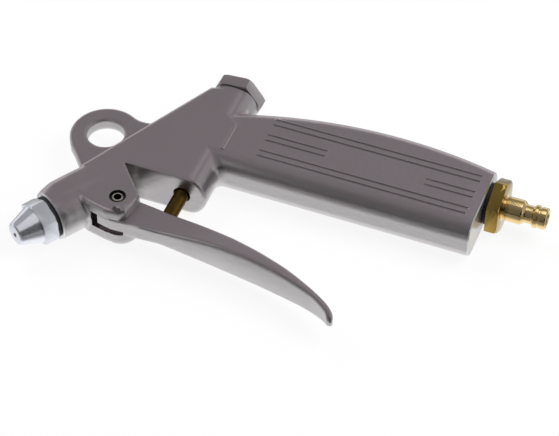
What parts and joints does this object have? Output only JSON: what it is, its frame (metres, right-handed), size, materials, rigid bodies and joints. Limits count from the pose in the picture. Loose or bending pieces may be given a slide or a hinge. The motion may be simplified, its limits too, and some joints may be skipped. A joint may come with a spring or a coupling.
{
  "type": "pneumatic air duster",
  "caption": "Pistol-grip air duster with a long trigger lever, push-stem valve, blunt hexagon nozzle, hanging eye and quick-coupling plug.",
  "frame": {"origin": "on the air inlet's axis, in the middle of the plug's collar", "axes": "+X along the grip and out of the inlet plug, +Y along the valve axis towards the valve cap, +Z across the flat sides"},
  "size_m": [0.1647, 0.0906, 0.0196],
  "materials": {
    "cast_aluminium": "satin cast, with a warm grey coat",
    "plated_steel": "bright zinc plate with turning marks",
    "brass": "turned and bright",
    "black_rubber": "matte"
  },
  "bodies": {
    "gun": {"body_casting": "cast_aluminium", "pivot_pin": "plated_steel", "nozzle": "plated_steel", "nozzle_seal_ring": "black_rubber", "valve_cap": "cast_aluminium", "cap_seal_ring": "black_rubber", "valve_spring": "plated_steel", "stem_seal_ring": "black_rubber", "lower_guide_bush": "brass", "upper_guide_bush": "brass", "inlet_plug": "brass", "inlet_seal_ring": "black_rubber"},
    "lever": {"trigger_lever": "cast_aluminium"},
    "valve": {"valve_stem": "brass", "disc_seal": "black_rubber", "spring_seat": "brass"}
  },
  "joints": [
    {"name": "lever_hinge", "type": "hinge", "parent": "gun", "child": "lever", "pos_m": [-0.1223, -0.049, 0], "axis": [0, 0, 1], "range_deg": [0, 14], "stiffness_Nm_per_rad": 0.32, "springref_deg": -28.07},
    {"name": "stem_slide", "type": "slide", "parent": "gun", "child": "valve", "axis": [0, 1, 0], "range_m": [0, 0.004], "stiffness_N_per_m": 40, "springref_m": -0.006, "deforming": ["valve_spring"]}
  ],
  "couplings": [
    {"joint": "stem_slide", "follows": "lever_hinge", "m_per_rad": 0.0163}
  ]
}
